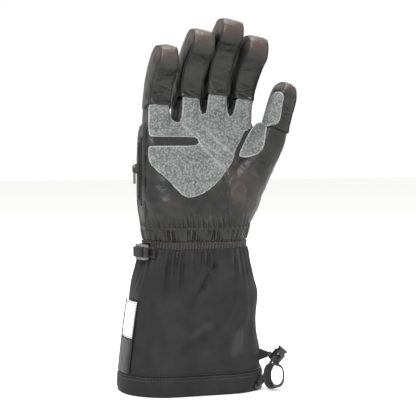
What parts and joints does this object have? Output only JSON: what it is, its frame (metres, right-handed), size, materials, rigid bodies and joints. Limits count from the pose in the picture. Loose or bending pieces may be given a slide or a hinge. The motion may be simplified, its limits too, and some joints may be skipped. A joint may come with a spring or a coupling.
{
  "type": "ski glove",
  "caption": "Right-hand ski glove with a long gauntlet cuff, padded fingers that fold, a pebbled grip patch, a wrist strap and a drawcord with a cord lock.",
  "frame": {"origin": "middle of the cuff's mouth, on the surface that the glove stands on", "axes": "+Z from the cuff to the fingertips, -Y the way the palm faces, +X the thumb's side"},
  "size_m": [0.1696, 0.0904, 0.3382],
  "materials": {
    "leather": "drum-dyed goatskin, semi-matt",
    "leather_side": "smoother goatskin for the side walls",
    "softshell": "woven softshell",
    "grip": "pebbled silicone print on leather",
    "webbing": "woven polyester tape",
    "lining": "brushed fleece",
    "wadding": "synthetic wadding",
    "plastic": "moulded acetal",
    "buckle": "dark lacquered die-cast",
    "metal": "nickel plated",
    "label": "printed satin tape"
  },
  "bodies": {
    "cuff": {"cuff_hem": "softshell", "cuff_shell": "softshell", "cuff_padding": "wadding", "cuff_lining": "lining", "cuff_side_patch": "softshell", "side_label": "label", "wrist_gather": "softshell", "wrist_elastic": "webbing", "wrist_strap": "webbing", "strap_anchor": "webbing", "wrist_buckle": "buckle", "drawcord_end_a": "webbing", "drawcord_end_b": "webbing", "drawcord_in_hem": "webbing", "hem_eyelet": "plastic", "lock_barrel": "plastic", "lock_spring": "metal", "lock_tab": "webbing", "pull_loop": "webbing"},
    "lock_button": {"lock_plunger": "plastic"},
    "hand": {"palm_leather": "leather", "hand_side_panel": "leather_side", "hand_back": "softshell", "hand_padding": "wadding", "hand_lining": "lining", "knuckle_pad": "softshell", "grip_patch": "grip", "thumb_gusset": "leather", "zip_tape": "webbing", "zip_teeth": "plastic"},
    "zip_slider": {"zip_slider": "metal"},
    "zip_pull": {"zip_pull": "metal"},
    "pinky_base": {"pinky_base": "leather", "pinky_grip_tab": "grip"},
    "pinky_tip": {"pinky_front": "leather", "pinky_back": "leather", "pinky_sides": "leather_side"},
    "ring_base": {"ring_base": "leather", "ring_grip_tab": "grip"},
    "ring_tip": {"ring_front": "leather", "ring_back": "leather", "ring_sides": "leather_side"},
    "middle_base": {"middle_base": "leather", "middle_grip_tab": "grip"},
    "middle_tip": {"middle_front": "leather", "middle_back": "leather", "middle_sides": "leather_side"},
    "index_base": {"index_base": "leather", "index_grip_tab": "grip"},
    "index_tip": {"index_front": "leather", "index_back": "leather", "index_sides": "leather_side"},
    "thumb_base": {"thumb_base": "leather", "thumb_grip_tab": "grip"},
    "thumb_tip": {"thumb_front": "leather", "thumb_back": "leather", "thumb_sides": "leather_side"}
  },
  "joints": [
    {"name": "wrist_flex", "type": "hinge", "parent": "cuff", "child": "hand", "pos_m": [0.003, 0, 0.134], "axis": [1, 0, 0], "range_deg": [-25, 40], "stiffness_Nm_per_rad": 1, "deforming": ["wrist_gather", "wrist_elastic"]},
    {"name": "pinky_root", "type": "hinge", "parent": "hand", "child": "pinky_base", "pos_m": [-0.0329, 0, 0.243], "axis": [0.9973, 0, -0.0732], "range_deg": [-10, 70], "stiffness_Nm_per_rad": 0.12},
    {"name": "pinky_middle", "type": "hinge", "parent": "pinky_base", "child": "pinky_tip", "pos_m": [-0.031, -0.004, 0.26893], "axis": [0.9973, 0, -0.0732], "range_deg": [0, 65], "stiffness_Nm_per_rad": 0.08},
    {"name": "ring_root", "type": "hinge", "parent": "hand", "child": "ring_base", "pos_m": [-0.0065, 0, 0.243], "axis": [0.9921, 0, -0.1253], "range_deg": [-10, 70], "stiffness_Nm_per_rad": 0.12},
    {"name": "ring_middle", "type": "hinge", "parent": "ring_base", "child": "ring_tip", "pos_m": [-0.00324, -0.004, 0.2688], "axis": [0.9921, 0, -0.1253], "range_deg": [0, 65], "stiffness_Nm_per_rad": 0.08},
    {"name": "middle_root", "type": "hinge", "parent": "hand", "child": "middle_base", "pos_m": [0.02, 0, 0.243], "axis": [0.9932, 0, -0.1167], "range_deg": [-10, 70], "stiffness_Nm_per_rad": 0.12},
    {"name": "middle_middle", "type": "hinge", "parent": "middle_base", "child": "middle_tip", "pos_m": [0.02303, -0.004, 0.26882], "axis": [0.9932, 0, -0.1167], "range_deg": [0, 65], "stiffness_Nm_per_rad": 0.08},
    {"name": "index_root", "type": "hinge", "parent": "hand", "child": "index_base", "pos_m": [0.046, 0, 0.243], "axis": [0.9925, 0, -0.1219], "range_deg": [-10, 70], "stiffness_Nm_per_rad": 0.12},
    {"name": "index_middle", "type": "hinge", "parent": "index_base", "child": "index_tip", "pos_m": [0.04917, -0.004, 0.26881], "axis": [0.9925, 0, -0.1219], "range_deg": [0, 65], "stiffness_Nm_per_rad": 0.08},
    {"name": "thumb_root", "type": "hinge", "parent": "hand", "child": "thumb_base", "pos_m": [0.0715, -0.017, 0.226], "axis": [0.9326, 0, -0.361], "range_deg": [-15, 35], "stiffness_Nm_per_rad": 0.15},
    {"name": "thumb_middle", "type": "hinge", "parent": "thumb_base", "child": "thumb_tip", "pos_m": [0.08049, -0.0215, 0.24924], "axis": [0.9326, 0, -0.361], "range_deg": [0, 50], "stiffness_Nm_per_rad": 0.08},
    {"name": "zip_slide", "type": "slide", "parent": "hand", "child": "zip_slider", "axis": [0, 0, 1], "range_m": [-0.024, 0.019]},
    {"name": "zip_pull_swing", "type": "hinge", "parent": "zip_slider", "child": "zip_pull", "pos_m": [-0.05225, 0.0015, 0.2033], "axis": [0, 1, 0], "range_deg": [0, 150]},
    {"name": "lock_press", "type": "slide", "parent": "cuff", "child": "lock_button", "axis": [-0.6113, 0.1986, -0.766], "range_m": [0, 0.0026], "stiffness_N_per_m": 500, "springref_m": -0.002, "deforming": ["lock_spring"]}
  ]
}
